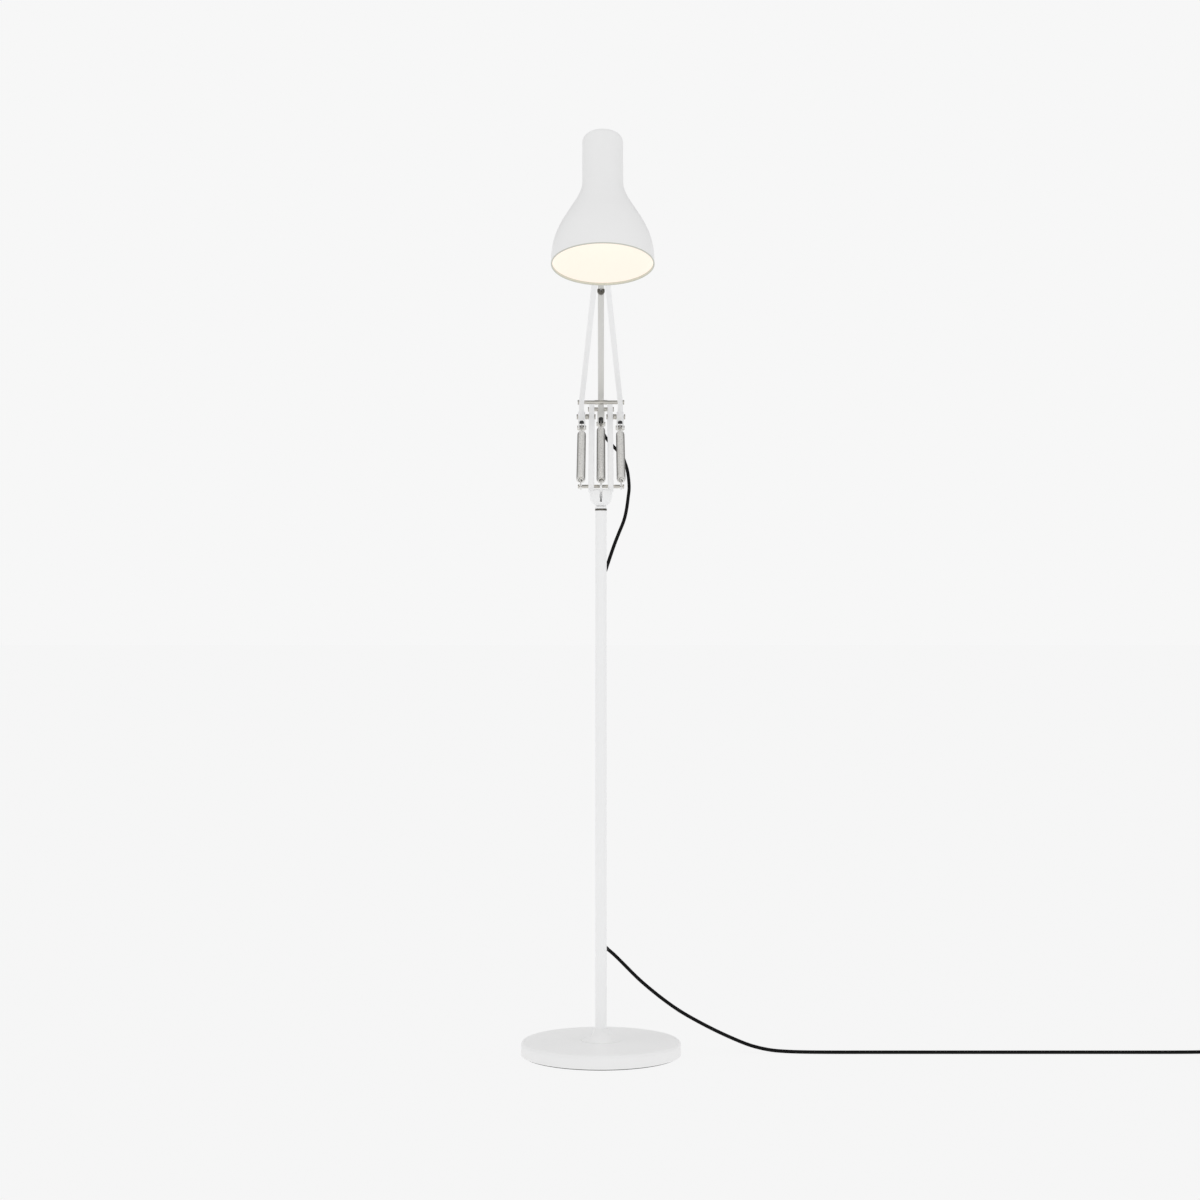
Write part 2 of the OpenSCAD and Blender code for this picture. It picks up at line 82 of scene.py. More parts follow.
camera_data = bpy.data.cameras.new("camera")
camera_data.lens = LENS
camera_data.sensor_width = SENSOR
camera = bpy.data.objects.new("camera", camera_data)
camera.location = CAMERA_PLACE
camera.rotation_euler = (math.radians(90), 0, 0)
bpy.context.scene.collection.objects.link(camera)
bpy.context.scene.camera = camera
print("camera at", CAMERA_PLACE)

# %% [markdown]
# ## Tubes along a path
# A cord and a wound spring are the same thing to a modeller: a round section carried along a
# line. One function makes both. It needs a direction that the line never runs along, and builds
# each ring in the plane square to the line, for every ring at once.

# %% Paths and their frames
CORD_UV = "along"


def smooth_path(points, per_span):
    """Catmull-Rom curve: each span is a cubic, its end slopes half the chord across each end."""
    p = np.asarray(points, float)
    padded = np.vstack([2 * p[0] - p[1], p, 2 * p[-1] - p[-2]])
    f = np.linspace(0, 1, per_span, endpoint=False)[None, :, None]
    a, b, c, d = (padded[i : i + len(p) - 1][:, None, :] for i in range(4))
    curve = 0.5 * (2 * b + (c - a) * f + (2 * a - 5 * b + 4 * c - d) * f**2
                   + (3 * b - a - 3 * c + d) * f**3)
    return np.vstack([curve.reshape(-1, 3), p[-1]])


def distances(path):
    """Distance travelled from the start to each point: the running sum of the steps' lengths."""
    return np.concatenate([[0], np.cumsum(np.linalg.norm(np.diff(path, axis=0), axis=1))])


def path_length(path):
    """Sum of the distances between neighbouring points."""
    return float(np.linalg.norm(np.diff(path, axis=0), axis=1).sum())


def frames_along(path, across):
    """Unit side and up vectors at each point: side = line x across, up = line x side."""
    line = np.gradient(path, axis=0)
    line /= np.linalg.norm(line, axis=1, keepdims=True)
    side = np.cross(line, across)
    side /= np.linalg.norm(side, axis=1, keepdims=True)
    return side, np.cross(line, side)


print("path helpers ready")

# %% [markdown]
# A grid of points becomes a surface when each point is joined to its neighbours. The columns close
# on themselves, so the same faces serve for a tube, a plug and a spun shade.

# %% Grids and tubes
def grid_faces(rows, columns):
    """Quads of a grid whose columns close on themselves, numbered row by row."""
    i, j = np.meshgrid(np.arange(rows - 1), np.arange(columns), indexing="ij")
    k = (j + 1) % columns
    here, above = i * columns, (i + 1) * columns
    return np.stack([here + j, here + k, above + k, above + j], -1).reshape(-1, 4)


def end_caps(rows, columns):
    """The first row turned round and the last row as it is, as two faces with many corners."""
    last = (rows - 1) * columns
    return [list(range(columns))[::-1], list(range(last, last + columns))]


def make_piece(name, points, faces, smooth=True):
    """A mesh object at the origin from an array of points and a list of faces."""
    mesh = bpy.data.meshes.new(name)
    mesh.from_pydata(np.asarray(points).tolist(), [], [list(map(int, f)) for f in faces])
    mesh.update()
    mesh.polygons.foreach_set("use_smooth", [smooth] * len(mesh.polygons))
    piece = bpy.data.objects.new(name, mesh)
    bpy.context.scene.collection.objects.link(piece)
    return piece


def set_grid_uv(piece, u, v, columns):
    """UV of a closed-column grid: u runs round a ring and v along the rows, in metres.

    A quad whose u values span more than half the ring crosses the seam, so its low values are
    raised by one whole turn.
    """
    layer = piece.data.uv_layers.new(name=CORD_UV)
    loops = np.empty(len(piece.data.loops), int)
    piece.data.loops.foreach_get("vertex_index", loops)
    ring = loops % columns
    row = np.minimum(loops // columns, len(v) - 1)
    around = u[ring]
    starts = np.arange(0, len(loops) // 4 * 4, 4)
    quads = around[: len(starts) * 4].reshape(-1, 4)
    wraps = quads.max(1) - quads.min(1) > 0.5 * u[-1]
    whole_turn = u[-1] + u[1]
    seam = quads[wraps]
    quads[wraps] = np.where(seam < 0.25 * u[-1], seam + whole_turn, seam)
    around[: len(starts) * 4] = quads.reshape(-1)
    layer.data.foreach_set("uv", np.column_stack([around, v[row]]).ravel())


def tube(name, path, radius, across, sides=12, radii=None):
    """Ring k of point i: path_i + r_i (cos k side_i + sin k up_i), with both ends capped."""
    side, up = frames_along(path, np.asarray(across, float))
    turn = np.linspace(0, 2 * np.pi, sides, endpoint=False)
    r = np.full(len(path), radius) if radii is None else radii
    rings = (path[:, None, :]
             + r[:, None, None] * (np.cos(turn)[None, :, None] * side[:, None, :]
                                   + np.sin(turn)[None, :, None] * up[:, None, :]))
    faces = grid_faces(len(path), sides).tolist() + end_caps(len(path), sides)
    piece = make_piece(name, rings.reshape(-1, 3), faces)
    set_grid_uv(piece, turn * radius, distances(path), sides)
    return piece


print("tube helper ready")

# %% [markdown]
# ## The free cord
# Nothing carries the cord between the bar's tail and the stem, so it hangs in one slack loop that
# has to follow three pivots. It is made in three lengths that meet end to end.

# %% The loop at the elbow
CORD_D = 5 * MM
CORD_SIDES = 14
LOOP_TOP = [(0, 258.95, 911.3), (0.5, 266.2, 906), (3, 273, 897), (9, 277, 887), (18, 275, 876.5),
            (27, 270.5, 867), (34, 263, 857.5)]
LOOP_MIDDLE = [(34, 263, 857.5), (40, 243, 837), (42.3, 215, 812), (40.5, 190, 793.6),
               (37.4, 160, 773), (33.2, 135, 756.4), (26.2, 108, 738.8), (19.9, 84, 722.6),
               (14.4, 62, 706.8)]
LOOP_FOOT = [(14.4, 62, 706.8), (9.8, 43, 693), (6, 28, 682), (2, 17, 675.5), (0, 10, 673)]
LOOP_PARTS = [
    ("upper_cord_top", LOOP_TOP, "upper_cord_a", ("centre_arm", "lower_arm")),
    ("upper_cord_middle", LOOP_MIDDLE, "upper_cord_b", ("lower_arm", "knuckle")),
    ("upper_cord_foot", LOOP_FOOT, "upper_cord_c", ("knuckle", "stand")),
]
SPAN_STEPS = 8
cords = []
for name, points, node, ends in LOOP_PARTS:
    path = smooth_path(np.array(points) * MM, SPAN_STEPS)
    piece = tube(name, path, CORD_D / 2, (1, 0, 0), CORD_SIDES)
    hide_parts(node)
    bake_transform(piece)
    cords.append(piece)
    print(name, "is", round(path_length(path), 3), "m")

# %% [markdown]
# ## The mains cord
# It leaves the stem low down at the back, slants to the floor and runs straight off to the side.
# What isn't needed is wound into a neat coil in three layers: one spirals in, the next spirals
# out on top of it, and so on, with a short climb between them.

# %% The mains cord's route
MAINS = [(0, 10.2, 150), (0.6, 15, 150), (2.5, 21.5, 149), (7.5, 28.5, 146), (16, 34.5, 138.5),
         (28, 38, 126.5), (55, 39.5, 99.5), (84, 38, 75.5), (112, 35, 56), (141, 31, 40),
         (169, 27, 26.5), (198, 22, 14.5), (218, 18, 8.2), (240, 14, 4.2), (262, 10.5, 2.9),
         (290, 7.5, 2.6), (330, 6, 2.6), (380, 6, 2.6), (520, 6, 2.6), (660, 6, 2.6),
         (800, 6, 2.6), (850, 6, 3)]
LEAD = [(893, -3.8, 14.2), (901.3, -6.8, 15.2), (909.6, -13.2, 17.4), (914.9, -21.2, 20.2),
        (917, -29, 22.4)]
PLUG_PLACE = np.array(LEAD[-1])
COIL_CENTRE = np.array([888, -34.4])
COIL_OUTER, COIL_INNER = 41.3, 21.0
LAYER = 5.12
FIRST_LAYER = 3.75
TURNS = (4, 4, 2)
CLIMB = 0.16
STEPS_PER_TURN = 36


def climb_after(turn, at):
    """One layer's climb: 3 q^2 - 2 q^3, where q goes from 0 to 1 in CLIMB turns after at."""
    q = np.clip((turn - at) / CLIMB, 0, 1)
    return q ** 2 * (3 - 2 * q)


def coil_path():
    """Layers of flat spiral: the radius moves one cord width a turn, and the height steps between.

    Layers 1 and 3 spiral in and layer 2 spirals out, so the radius is the outer one less the
    pitch times (turns made inward - turns made outward).
    """
    pitch = (COIL_OUTER - COIL_INNER) / TURNS[0]
    turn = np.arange(0, sum(TURNS) + 0.02, 1 / STEPS_PER_TURN)
    ends = np.cumsum(TURNS)
    inward = np.clip(turn, 0, ends[0]) + np.clip(turn - ends[1], 0, TURNS[2])
    radius = COIL_OUTER - pitch * (inward - np.clip(turn - ends[0], 0, TURNS[1]))
    rise = sum(climb_after(turn, at) for at in ends[:2])
    angle = np.pi / 2 - 2 * np.pi * turn
    return np.column_stack([COIL_CENTRE[0] + radius * np.cos(angle),
                            COIL_CENTRE[1] + radius * np.sin(angle),
                            FIRST_LAYER + LAYER * rise])


coil = coil_path()
run = smooth_path(np.vstack([MAINS, coil[:1]]), 6)[:-1]
lead = smooth_path(np.vstack([coil[-1:], LEAD]), 8)[1:]
mains_path = np.vstack([run, coil, lead]) * MM
print("mains route has", len(mains_path), "points, of which", len(coil), "are in the coil")

# %% [markdown]
# The cord leaves the stem through a tapered sleeve, which keeps it from folding at the hole. Round
# grooves make the sleeve softer towards its thin end.

# %% The sleeve
SLEEVE_LENGTH = 24 * MM
SLEEVE_RADII = (4.6, 3.0)
GROOVE_PITCH, GROOVE_DEPTH = 3.2, 0.4
GROOVES_FROM, GROOVES_TO = 4 * MM, 22 * MM


def sleeve():
    """Radius = a straight taper, less a groove wherever a sine of the distance is high."""
    along = np.linspace(0, SLEEVE_LENGTH, 91)
    travelled = distances(mains_path)
    path = np.column_stack([np.interp(along, travelled, mains_path[:, k]) for k in range(3)])
    taper = np.interp(along, [0, SLEEVE_LENGTH], SLEEVE_RADII)
    wave = np.sin(2 * np.pi * along / (GROOVE_PITCH * MM))
    grooved = (along > GROOVES_FROM) * (along < GROOVES_TO)
    groove = GROOVE_DEPTH * np.clip(3 * wave - 1.2, 0, 1) * grooved
    return tube("cord_relief_sleeve", path, 4 * MM, (0, 0, 1), 24, radii=(taper - groove) * MM)


relief_piece = sleeve()
print("sleeve", len(relief_piece.data.polygons), "faces")

# %% [markdown]
# The plug is a row of cross-sections from the cord to the pins. Each one is a superellipse, which
# goes from round to nearly square as its power grows, with ribs to grip and a rounded far edge.

# %% The plug
PLUG_LENGTH = 34
PLUG_EDGE = 1.4
PLUG_SIDES = 56
RIB_PITCH, RIB_DEPTH = 2.6, 0.55
RIBS_FROM, RIBS_TO = 8, 18.2


def plug_body():
    """Sections across the plug: x = w |cos a|^(2/n), z = h |sin a|^(2/n).

    n is 2 where the plug is round and more where it is squarer, and every size is read off a
    short table against the distance back from the cord.
    """
    edge_from = PLUG_LENGTH - PLUG_EDGE
    edge_turn = np.linspace(0, np.pi / 2, 8)[1:]
    back = np.concatenate([np.linspace(0, edge_from, 80),
                           PLUG_LENGTH - PLUG_EDGE * (1 - np.sin(edge_turn))])
    wide = np.interp(back, [0, 2, 6, 13, 20, PLUG_LENGTH], [4.4, 4.6, 7.4, 9.2, 12, 12])
    high = np.interp(back, [0, 2, 7, PLUG_LENGTH], [4.4, 4.5, 6.3, 6.4])
    middle_z = np.interp(back, [0, 2, 7, PLUG_LENGTH], [0, 0, 0.6, 0.7])
    n = np.interp(back, [0, 3, 12, PLUG_LENGTH], [2, 2.2, 3.6, 4.5])
    ribbed = (back > RIBS_FROM) * (back < RIBS_TO)
    ribs = RIB_DEPTH * np.clip(2 * np.sin(2 * np.pi * back / RIB_PITCH), 0, 1) * ribbed
    past_edge = np.clip((back - edge_from) / PLUG_EDGE, 0, 1)
    rounding = PLUG_EDGE - PLUG_EDGE * np.sqrt(np.clip(1 - past_edge ** 2, 0, 1))
    wide, high = wide - ribs - rounding, high - 0.4 * ribs - rounding
    a = np.linspace(0, 2 * np.pi, PLUG_SIDES, endpoint=False)[None, :]
    power = 2 / n[:, None]
    x = wide[:, None] * np.sign(np.cos(a)) * np.abs(np.cos(a)) ** power
    z = high[:, None] * np.sign(np.sin(a)) * np.abs(np.sin(a)) ** power + middle_z[:, None]
    y = np.broadcast_to(-back[:, None], x.shape)
    points = (np.stack([x, y, z], -1) + PLUG_PLACE) * MM
    quads = grid_faces(len(back), PLUG_SIDES)[:, ::-1].tolist()
    caps = [cap[::-1] for cap in end_caps(len(back), PLUG_SIDES)]
    return make_piece("plug_body", points.reshape(-1, 3), quads + caps)


plug_piece = plug_body()
for piece, node in ((relief_piece, "cord_relief"), (plug_piece, "mains_plug")):
    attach(piece, "stand")
    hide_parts(node)
print("plug", len(plug_piece.data.polygons), "faces")

# %% [markdown]
# Now the cord can be carried along its whole route, from the sleeve to the plug.

# %% The cord itself
mains_cord = tube("mains_cord_run", mains_path, CORD_D / 2, (0, 0, 1), CORD_SIDES)
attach(mains_cord, "stand")
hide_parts("mains_cord", "mains_coil", "plug_lead")
cords.append(mains_cord)
print("mains cord is", round(path_length(mains_path), 3), "m")
print("of which the coil is", round(path_length(coil) * MM, 3), "m")

# %% [markdown]
# ## The three springs
# Each is one length of drawn wire: an eye at the top, a close-wound body whose turns narrow at
# both ends, and a straight tail. Drawing the wire itself as a helix gives the fine rings of
# highlight that a plain rod with a bump could never give from every side.

# %% The spring's wire
HOOK_EYE = 4.4
EYE_TURN = (212, 498)
COIL_FROM, COIL_TO = 21.5, 21.0
TAIL_END = 19.3
WIRE_R = 1.0
SPRING_R = 6.35
THIN_R = 0.9
TURN_PITCH = 2.4
TAPER_TURNS = 3
STEPS_PER_COIL = 20


def spring_line(length):
    """The wire's line down Z: an eye, a neck, a helix and a tail.

    The helix is (r cos 2 pi t, r sin 2 pi t, start + t pitch) for t in turns, and within a few
    turns of each end r swells from thin to full as a quarter circle.
    """
    turn = np.radians(np.linspace(*EYE_TURN, 40))
    eye = np.column_stack([np.zeros_like(turn), HOOK_EYE * np.sin(turn), -HOOK_EYE * np.cos(turn)])
    neck_points = [eye[-1], (0, 1.3, 4.9), (0, 0.3, 7.2), (0, 0, 12), (0.3, 0, COIL_FROM - 0.8)]
    neck = smooth_path(neck_points, 5)[1:]
    last = length - COIL_TO
    turns = (last - COIL_FROM) / TURN_PITCH
    t = np.arange(0, turns, 1 / STEPS_PER_COIL)
    swell = np.clip(np.minimum(t, turns - t) / TAPER_TURNS, 0, 1)
    radius = THIN_R + (SPRING_R - WIRE_R - THIN_R) * np.sqrt(1 - (1 - swell) ** 2)
    helix = np.column_stack([radius * np.cos(2 * np.pi * t), radius * np.sin(2 * np.pi * t),
                             COIL_FROM + t * TURN_PITCH])
    tail = np.array([[0.3, 0, last + 0.4], [0, 0, length - TAIL_END]])
    return np.vstack([eye, neck, helix, tail])


def spring_wire(top, foot, x_shift):
    """Places the line with its Z along top to foot: world = top + x right + y out + z down."""
    length = np.linalg.norm(foot - top)
    down = (foot - top) / length
    right = np.array([1.0, 0, 0])
    out = np.cross(down, right)
    local = spring_line(length)
    turned = local[:, :1] * right + local[:, 1:2] * out + local[:, 2:] * down
    return (top + [x_shift, 0, 0] + turned) * MM, down


print("a spring's wire is", 2 * WIRE_R, "mm thick")

# %% [markdown]
# A wound wire runs almost square to the spring's axis, and along it only in the tails. The axis
# therefore gives a steady direction to build its rings from, with X in its place on the tails.

# %% The wound springs
def frames_by_turning(path, axis):
    """Unit side and up vectors: side = line x axis, or line x X where line and axis agree."""
    line = np.gradient(path, axis=0)
    line /= np.linalg.norm(line, axis=1, keepdims=True)
    side = np.cross(line, axis)
    weak = np.linalg.norm(side, axis=1) < 0.2
    side[weak] = np.cross(line[weak], [1.0, 0, 0])
    side /= np.linalg.norm(side, axis=1, keepdims=True)
    return side, np.cross(line, side)


def wire_piece(name, path, axis, sides=7):
    """The tube of a wound wire: circles of the wire's radius in the plane of side and up."""
    side, up = frames_by_turning(path, axis)
    turn = np.linspace(0, 2 * np.pi, sides, endpoint=False)
    rings = path[:, None, :] + WIRE_R * MM * (np.cos(turn)[None, :, None] * side[:, None, :]
                                              + np.sin(turn)[None, :, None] * up[:, None, :])
    faces = grid_faces(len(path), sides).tolist() + end_caps(len(path), sides)
    return make_piece(name, rings.reshape(-1, 3), faces)


joints = {joint["name"]: joint for joint in frame["joints"]}
rod_middle = middle("spring_rod") / MM
spring_pieces = []
OUTER_SPRING_X = 28.8
OUTER = ("outer_spring_swing", "outer_springs", "outer_spring_ends")
CENTRE = ("centre_spring_swing", "centre_spring", "centre_spring_end")
SPRINGS = [
    ("outer_spring_left", "outer_coil_left", -OUTER_SPRING_X, OUTER),
    ("outer_spring_right", "outer_coil_right", OUTER_SPRING_X, OUTER),
    ("centre_spring_wire", "centre_coil", 0, CENTRE),
]
for name, node, x_shift, (swing, body, end_body) in SPRINGS:
    top = np.array(joints[swing]["pos_m"]) / MM
    foot = np.array([0, rod_middle[1], rod_middle[2]])
    path, down = spring_wire(top, foot, x_shift)
    piece = wire_piece(name, path, down)
    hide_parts(node)
    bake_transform(piece)
    spring_pieces.append(piece)
    print(name, len(piece.data.polygons), "faces")

# %% [markdown]
# ## The shade
# The shade is spun from one aluminium disc, so it is a surface of revolution: a straight neck with
# a rounded cap, and a bell that swells out from it. One formula gives the bell's radius at every
# height. The wall is built as an outside, a rolled rim and an inside, each its own piece, because
# the inside is bright white paint given a painted glow for the lamp's light, and the rim is painted
# grey as painted shade on the rolled edge.

# %% The shade's profile
MOUTH_R, NECK_R, SHADE_H = 69.8, 28.0, 191.8
FLARE_H, FLARE_POWER = 120.0, 1.35
SHADE_T = 1.5
CAP_R = 12.0
MOUTH_PLACE = np.array([2.3, -140, 1094])
SHADE_LEAN = math.radians(15.8)
AROUND = 144
LIP = 2.8
BEAD_R = 1.0
BEAD_SET_IN = 0.75


def bell_radius(h):
    """Neck radius plus the flare, which falls as 1 - smoothstep((h / flare height) ** power)."""
    x = (np.clip(h, 0, FLARE_H) / FLARE_H) ** FLARE_POWER
    return NECK_R + (MOUTH_R - NECK_R) * (1 - x * x * (3 - 2 * x))


def place_shade(local):
    """Turns points from the shade's own frame by its lean about X, and moves them to its place."""
    x, y, z = local[..., 0], local[..., 1], local[..., 2]
    c, s = math.cos(SHADE_LEAN), math.sin(SHADE_LEAN)
    return (np.stack([x, y * c + z * s, -y * s + z * c], -1) + MOUTH_PLACE) * MM


def spun(name, radius, height, flip=False):
    """Revolves a profile: point = (r cos a, r sin a, h) for every profile point and angle."""
    angle = np.linspace(0, 2 * np.pi, AROUND, endpoint=False)
    local = np.stack([radius[:, None] * np.cos(angle), radius[:, None] * np.sin(angle),
                      np.broadcast_to(height[:, None], (len(height), AROUND))], -1)
    faces = grid_faces(len(radius), AROUND)
    if flip:
        faces = faces[:, ::-1]
    return make_piece(name, place_shade(local).reshape(-1, 3), faces)


def shade_profile(inset):
    """Heights and radii from the mouth to the middle of the cap, set in by the wall's thickness."""
    h = np.linspace(0, FLARE_H, 60)
    neck = np.linspace(FLARE_H, SHADE_H - CAP_R - inset, 12)[1:]
    arc = np.linspace(0, np.pi / 2, 16)[1:]
    cap_r = NECK_R - CAP_R - inset + CAP_R * np.cos(arc)
    cap_h = SHADE_H - CAP_R - inset + CAP_R * np.sin(arc)
    flat = np.linspace(cap_r[-1], 0.05, 6)[1:]
    neck_r = np.full(len(neck), NECK_R - inset)
    radius = np.concatenate([bell_radius(h) - inset, neck_r, cap_r, flat])
    height = np.concatenate([h, neck, cap_h, np.full(len(flat), cap_h[-1])])
    return radius, height


print("the shade is", SHADE_H, "mm high and", 2 * MOUTH_R, "mm across")

# %% [markdown]
# The outside follows the profile as it is. The inside follows it set in by the wall, but starts at
# the lip's height, and the rim runs from one to the other round a bead.

# %% The spun shade
shade_outside = spun("shade_outside", *shade_profile(0))

inner_r, inner_h = shade_profile(SHADE_T)
above_lip = inner_h >= LIP
inside_r = np.concatenate([[bell_radius(LIP) - SHADE_T], inner_r[above_lip]])
inside_h = np.concatenate([[LIP], inner_h[above_lip]])
shade_inside = spun("shade_inside", inside_r, inside_h, flip=True)

bead_turn = np.linspace(0, -np.pi, 14)
rim_r = np.concatenate([[bell_radius(0.0)], MOUTH_R - BEAD_SET_IN + BEAD_R * np.cos(bead_turn),
                        [bell_radius(LIP / 2) - SHADE_T - 0.1, bell_radius(LIP) - SHADE_T]])
rim_h = np.concatenate([[0.6], 0.1 + BEAD_R * np.sin(bead_turn), [LIP / 2, LIP]])
shade_rim = spun("shade_rim", rim_r, rim_h, flip=True)
for piece in (shade_outside, shade_inside, shade_rim):
    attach(piece, "shade")
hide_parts("shade_shell")
print("shade", len(shade_outside.data.polygons), "faces outside")

# %% [markdown]
# ## Finishes
# Every finish is made of a shader and a small pattern. The pattern reads Object coordinates,
# which are metres here, so a scale of 900 puts a bump about every millimetre. Values that are the
# same all over stay on the shader's own sockets.

# %% Shader helpers
def new_material(name, **sockets):
    """A material with one Principled shader whose sockets are set by name."""
    material = bpy.data.materials.new(name)
    material.use_nodes = True
    shader = material.node_tree.nodes["Principled BSDF"]
    for key, value in sockets.items():
        shader.inputs[key.replace("_", " ")].default_value = value
    return material, material.node_tree, shader


def noise(tree, scale, detail=3.0, coordinate="Object", stretch=None):
    """A noise texture on a coordinate, optionally stretched along an axis by a Mapping node."""
    place = tree.nodes.new("ShaderNodeTexCoord")
    texture = tree.nodes.new("ShaderNodeTexNoise")
    texture.inputs["Scale"].default_value = scale
    texture.inputs["Detail"].default_value = detail
    source = place.outputs[coordinate]
    if stretch:
        mapping = tree.nodes.new("ShaderNodeMapping")
        mapping.inputs["Scale"].default_value = stretch
        tree.links.new(source, mapping.inputs["Vector"])
        source = mapping.outputs["Vector"]
    tree.links.new(source, texture.inputs["Vector"])
    return texture.outputs["Fac"]


def add_bump(tree, shader, height, strength, distance):
    """Height feeds a Bump node; distance is the real depth of the pattern in metres."""
    bump = tree.nodes.new("ShaderNodeBump")
    bump.inputs["Strength"].default_value = strength
    bump.inputs["Distance"].default_value = distance
    tree.links.new(height, bump.inputs["Height"])
    tree.links.new(bump.outputs["Normal"], shader.inputs["Normal"])


def ramp(tree, factor, low, high, start=0.3, stop=0.7):
    """A colour ramp between two colours."""
    node = tree.nodes.new("ShaderNodeValToRGB")
    node.color_ramp.elements[0].position = start
    node.color_ramp.elements[0].color = (*low, 1)
    node.color_ramp.elements[1].position = stop
    node.color_ramp.elements[1].color = (*high, 1)
    tree.links.new(factor, node.inputs["Fac"])
    return node.outputs["Color"]


def spread(tree, factor, low, high):
    """Maps a 0 to 1 pattern to a range of roughness."""
    node = tree.nodes.new("ShaderNodeMapRange")
    node.inputs["To Min"].default_value = low
    node.inputs["To Max"].default_value = high
    tree.links.new(factor, node.inputs["Value"])
    return node.outputs["Result"]


print("shader helpers ready")

# %% [markdown]
# Three families cover almost every hard part: paint with its orange peel, metal with its brush
# marks, and plastic with the grain of its mould. Each takes a tone and a range of roughness.

# %% Paint, metal and plastic
def painted(name, tone, rough=(0.38, 0.5), peel=0.12):
    """Powder coat: fine orange peel, with a very slight drift of tone and gloss."""
    material, tree, shader = new_material(name, IOR=1.48)
    low = tuple(c * 0.985 for c in tone)
    tree.links.new(ramp(tree, noise(tree, 14), low, tone), shader.inputs["Base Color"])
    tree.links.new(spread(tree, noise(tree, 60), *rough), shader.inputs["Roughness"])
    add_bump(tree, shader, noise(tree, 850, 2.0), peel, 0.00012)
    return material


def metal(name, tone, rough, brush=(1, 1, 1), brush_scale=900, depth=0.12):
    """Bare metal: the brush marks are a noise stretched along one axis."""
    material, tree, shader = new_material(name, Metallic=1.0)
    marks = noise(tree, brush_scale, 4.0, stretch=brush)
    dark = tuple(c * 0.8 for c in tone)
    tree.links.new(ramp(tree, marks, dark, tone), shader.inputs["Base Color"])
    tree.links.new(spread(tree, marks, *rough), shader.inputs["Roughness"])
    add_bump(tree, shader, marks, depth, 0.00008)
    return material


def moulded(name, tone, rough=(0.42, 0.6), grain=700):
    """Moulded plastic or rubber with a fine spark-eroded grain."""
    material, tree, shader = new_material(name, IOR=1.46)
    light = tuple(min(c * 1.25 + 0.004, 1) for c in tone)
    tree.links.new(ramp(tree, noise(tree, grain, 2.0), tone, light), shader.inputs["Base Color"])
    tree.links.new(spread(tree, noise(tree, grain), *rough), shader.inputs["Roughness"])
    add_bump(tree, shader, noise(tree, grain, 2.0), 0.2, 0.0001)
    return material


print("paint, metal and plastic ready")

# %% [markdown]
# The springs' wire is painted bright where it faces forward and dark at the sides of the coil, as a
# painted reflection. The X part of the surface's own normal tells the two apart.

# %% Drawn wire
def wire_finish():
    """Drawn wire with a painted reflection, bright in front and dark on the flanks: the size of the normal's X
    part picks the tone.
    """
    material, tree, shader = new_material("drawn spring wire", Metallic=0.55)
    place = tree.nodes.new("ShaderNodeTexCoord")
    split = tree.nodes.new("ShaderNodeSeparateXYZ")
    tree.links.new(place.outputs["Normal"], split.inputs[0])
    flank = tree.nodes.new("ShaderNodeMath")
    flank.operation = "ABSOLUTE"
    tree.links.new(split.outputs["X"], flank.inputs[0])
    # Painted reflection: a near-white painted highlight in front and a near-black painted reflection on the
    # flanks.
    painted_highlight_tone, painted_dark_reflection_tone = (0.97, 0.96, 0.93), (0.16, 0.15, 0.14)
    edge = ramp(tree, flank.outputs[0], painted_highlight_tone, painted_dark_reflection_tone, 0.5, 0.88)
    tree.links.new(edge, shader.inputs["Base Color"])
    tree.links.new(spread(tree, noise(tree, 900, 3.0), 0.22, 0.36), shader.inputs["Roughness"])
    return material


print("wire ready")

# %% [markdown]
# The cord has a woven cover. Two sets of fine diagonal waves, one each way round, cross on the
# cord's own UV, which runs round it and along it in metres.

# %% The woven cord
def woven_cord():
    """Height = max of two sine waves on (around + along) and (around - along)."""
    material, tree, shader = new_material("woven cord", IOR=1.4, Specular_IOR_Level=0.25)
    place = tree.nodes.new("ShaderNodeUVMap")
    place.uv_map = CORD_UV
    waves = []
    for lean in (1, -1):
        mapping = tree.nodes.new("ShaderNodeMapping")
        mapping.inputs["Rotation"].default_value = (0, 0, math.radians(38 * lean))
        wave = tree.nodes.new("ShaderNodeTexWave")
        wave.inputs["Scale"].default_value = 260
        tree.links.new(place.outputs["UV"], mapping.inputs["Vector"])
        tree.links.new(mapping.outputs["Vector"], wave.inputs["Vector"])
        waves.append(wave.outputs["Fac"])
    cross = tree.nodes.new("ShaderNodeMath")
    cross.operation = "MAXIMUM"
    tree.links.new(waves[0], cross.inputs[0])
    tree.links.new(waves[1], cross.inputs[1])
    height = cross.outputs[0]
    dark, light = (0.0015, 0.0015, 0.0015), (0.007, 0.007, 0.007)
    tree.links.new(ramp(tree, height, dark, light), shader.inputs["Base Color"])
    tree.links.new(spread(tree, height, 0.75, 0.95), shader.inputs["Roughness"])
    add_bump(tree, shader, height, 0.5, 0.0003)
    return material


print("woven cord ready")


# %% [markdown]
# The inside of the shade and the bulb are warmly lit. Real light would bounce round the shade many
# times until it is almost even, so the paint is given a soft glow of its own that drifts a little.

# %% The glowing finishes
def glowing(name, tone, glow, strength, variation):
    """Paint with a glow whose colour drifts slightly with a broad noise."""
    material, tree, shader = new_material(name, Roughness=0.6)
    shader.inputs["Base Color"].default_value = (*tone, 1)
    shader.inputs["Emission Strength"].default_value = strength
    dim = tuple(c * variation for c in glow)
    tree.links.new(ramp(tree, noise(tree, 9, 1.0), dim, glow), shader.inputs["Emission Color"])
    add_bump(tree, shader, noise(tree, 850, 2.0), 0.08, 0.0001)
    return material


print("glowing finishes ready")
